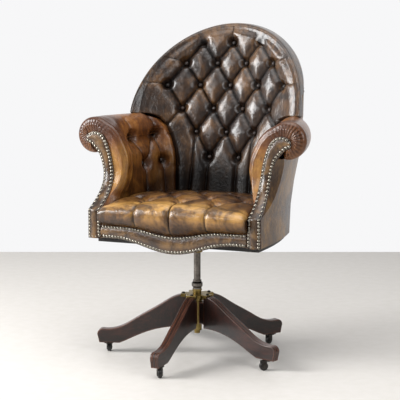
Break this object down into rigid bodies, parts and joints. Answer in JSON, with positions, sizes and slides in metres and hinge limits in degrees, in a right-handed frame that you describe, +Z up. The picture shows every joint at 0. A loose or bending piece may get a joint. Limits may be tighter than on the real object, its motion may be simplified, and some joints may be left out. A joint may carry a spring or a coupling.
{
  "type": "office chair",
  "caption": "Buttoned leather barrel-back desk chair with rolled arms, on a rising swivel column and a star of mahogany legs with castors.",
  "frame": {"origin": "on the floor under the axis of the column", "axes": "+Z up, the front of the seat faces -Y, +X to the viewer's right when facing the front"},
  "size_m": [0.706, 0.6444, 0.991],
  "materials": {
    "mahogany": "polished, worn on the edges",
    "castor_steel": "dull plated steel",
    "castor_wheel": "black",
    "brass": "aged, unpolished",
    "dark_steel": "blackened",
    "column_steel": "polished",
    "black_board": "painted black",
    "beech": "raw",
    "webbing": "jute",
    "seat_leather": "worn tan",
    "back_leather": "dark brown, glossy",
    "arm_leather": "worn tan and red-brown",
    "outside_leather": "mottled brown",
    "trim_leather": "brown",
    "nail_brass": "antiqued domed heads"
  },
  "bodies": {
    "base": {"leg_front": "mahogany", "leg_right_front": "mahogany", "leg_right_rear": "mahogany", "leg_left_rear": "mahogany", "leg_left": "mahogany", "centre_sleeve": "brass", "end_nut": "brass", "leg_saddle": "brass", "leg_screws": "dark_steel", "castor_sockets": "castor_steel"},
    "column": {"column": "column_steel", "column_ring": "column_steel", "thrust_washer": "brass"},
    "seat": {"front_rail": "trim_leather", "seat_frame": "beech", "seat_webbing": "webbing", "bottom_board": "black_board", "seat_plate": "dark_steel", "plate_screws": "dark_steel", "seat_cushion": "seat_leather", "seat_buttons": "seat_leather", "arm_facing_right": "trim_leather", "arm_facing_left": "trim_leather", "facing_nails_right": "nail_brass", "facing_nails_left": "nail_brass", "rail_nails": "nail_brass", "rim_nails": "nail_brass", "outside_back": "outside_leather", "outside_arm_right": "outside_leather", "outside_arm_left": "outside_leather", "back_frame": "beech", "back_webbing": "webbing", "arm_post_right": "beech", "arm_post_left": "beech", "rim_band": "back_leather", "back_pad": "back_leather", "back_buttons": "back_leather", "arm_pad_right": "arm_leather", "arm_pad_left": "arm_leather", "arm_rail_right": "beech", "arm_rail_left": "beech", "arm_buttons_right": "arm_leather", "arm_buttons_left": "arm_leather"},
    "fork_front": {"castor_fork_front": "castor_steel", "castor_axle_front": "castor_steel"},
    "wheel_front": {"castor_wheel_front": "castor_wheel"},
    "fork_right_front": {"castor_fork_right_front": "castor_steel", "castor_axle_right_front": "castor_steel"},
    "wheel_right_front": {"castor_wheel_right_front": "castor_wheel"},
    "fork_right_rear": {"castor_fork_right_rear": "castor_steel", "castor_axle_right_rear": "castor_steel"},
    "wheel_right_rear": {"castor_wheel_right_rear": "castor_wheel"},
    "fork_left_rear": {"castor_fork_left_rear": "castor_steel", "castor_axle_left_rear": "castor_steel"},
    "wheel_left_rear": {"castor_wheel_left_rear": "castor_wheel"},
    "fork_left": {"castor_fork_left": "castor_steel", "castor_axle_left": "castor_steel"},
    "wheel_left": {"castor_wheel_left": "castor_wheel"}
  },
  "joints": [
    {"name": "column_lift", "type": "slide", "parent": "base", "child": "column", "axis": [0, 0, 1], "range_m": [0, 0.08]},
    {"name": "seat_swivel", "type": "hinge", "parent": "column", "child": "seat", "pos_m": [0, 0, 0.33], "axis": [0, 0, 1], "continuous": true},
    {"name": "castor_front_swivel", "type": "hinge", "parent": "base", "child": "fork_front", "pos_m": [0, -0.268, 0.03], "axis": [0, 0, 1], "continuous": true},
    {"name": "castor_front_roll", "type": "hinge", "parent": "fork_front", "child": "wheel_front", "pos_m": [0.00688, -0.27783, 0.0125], "axis": [0.8192, 0.5736, 0], "continuous": true},
    {"name": "castor_right_front_swivel", "type": "hinge", "parent": "base", "child": "fork_right_front", "pos_m": [0.25488, -0.08282, 0.03], "axis": [0, 0, 1], "continuous": true},
    {"name": "castor_right_front_roll", "type": "hinge", "parent": "fork_right_front", "child": "wheel_right_front", "pos_m": [0.24596, -0.09085, 0.0125], "axis": [0.6691, -0.7431, 0], "continuous": true},
    {"name": "castor_right_rear_swivel", "type": "hinge", "parent": "base", "child": "fork_right_rear", "pos_m": [0.15753, 0.21682, 0.03], "axis": [0, 0, 1], "continuous": true},
    {"name": "castor_right_rear_roll", "type": "hinge", "parent": "fork_right_rear", "child": "wheel_right_rear", "pos_m": [0.15422, 0.20528, 0.0125], "axis": [0.9613, -0.2756, 0], "continuous": true},
    {"name": "castor_left_rear_swivel", "type": "hinge", "parent": "base", "child": "fork_left_rear", "pos_m": [-0.15753, 0.21682, 0.03], "axis": [0, 0, 1], "continuous": true},
    {"name": "castor_left_rear_roll", "type": "hinge", "parent": "fork_left_rear", "child": "wheel_left_rear", "pos_m": [-0.1688, 0.22092, 0.0125], "axis": [-0.342, -0.9397, 0], "continuous": true},
    {"name": "castor_left_swivel", "type": "hinge", "parent": "base", "child": "fork_left", "pos_m": [-0.25488, -0.08282, 0.03], "axis": [0, 0, 1], "continuous": true},
    {"name": "castor_left_roll", "type": "hinge", "parent": "fork_left", "child": "wheel_left", "pos_m": [-0.25938, -0.07169, 0.0125], "axis": [-0.9272, -0.3746, 0], "continuous": true}
  ]
}
